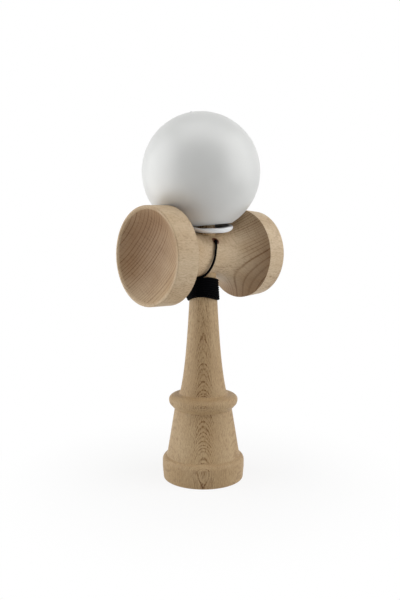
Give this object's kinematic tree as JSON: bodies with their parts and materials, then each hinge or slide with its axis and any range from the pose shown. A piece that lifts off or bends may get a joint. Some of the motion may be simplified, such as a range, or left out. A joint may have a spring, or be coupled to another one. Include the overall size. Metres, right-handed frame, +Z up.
{
  "type": "kendama",
  "caption": "Wooden skill toy: turned handle with spike and base cup, cross piece with two cups, and a bored white ball tied on by a black cord wound round the stem.",
  "frame": {"origin": "middle of the foot, on the plane that the handle stands on and on the handle's axis", "axes": "+Z up the handle towards the spike, +X along the cross piece towards the small cup, -Y is the side with the cord hole"},
  "size_m": [0.0742, 0.0613, 0.1887],
  "materials": {
    "handle_wood": "bare sanded beech",
    "cross_wood": "bare sanded beech",
    "ball_paint": "white satin paint on wood",
    "ring_rubber": "soft white rubber",
    "bead_wood": "plain wooden bead",
    "cord": "black twisted cord"
  },
  "bodies": {
    "handle": {"ken": "handle_wood", "cross_piece": "cross_wood", "rest_ring": "ring_rubber", "cross_piece_knot": "cord", "cord_lead": "cord", "cord_winding": "cord", "cord_back": "cord"},
    "bead": {"bead": "bead_wood", "bead_knot": "cord", "cord_in_ball": "cord"},
    "tama": {"tama": "ball_paint"}
  },
  "joints": [
    {"name": "tama_lift", "type": "slide", "parent": "handle", "child": "bead", "axis": [-0.0766, 0.0523, 0.9957], "range_m": [0, 0.045], "deforming": ["cord_back"]},
    {"name": "tama_spin", "type": "hinge", "parent": "bead", "child": "tama", "pos_m": [0, 0.0018, 0.15817], "axis": [-0.0766, 0.0523, 0.9957], "continuous": true}
  ]
}
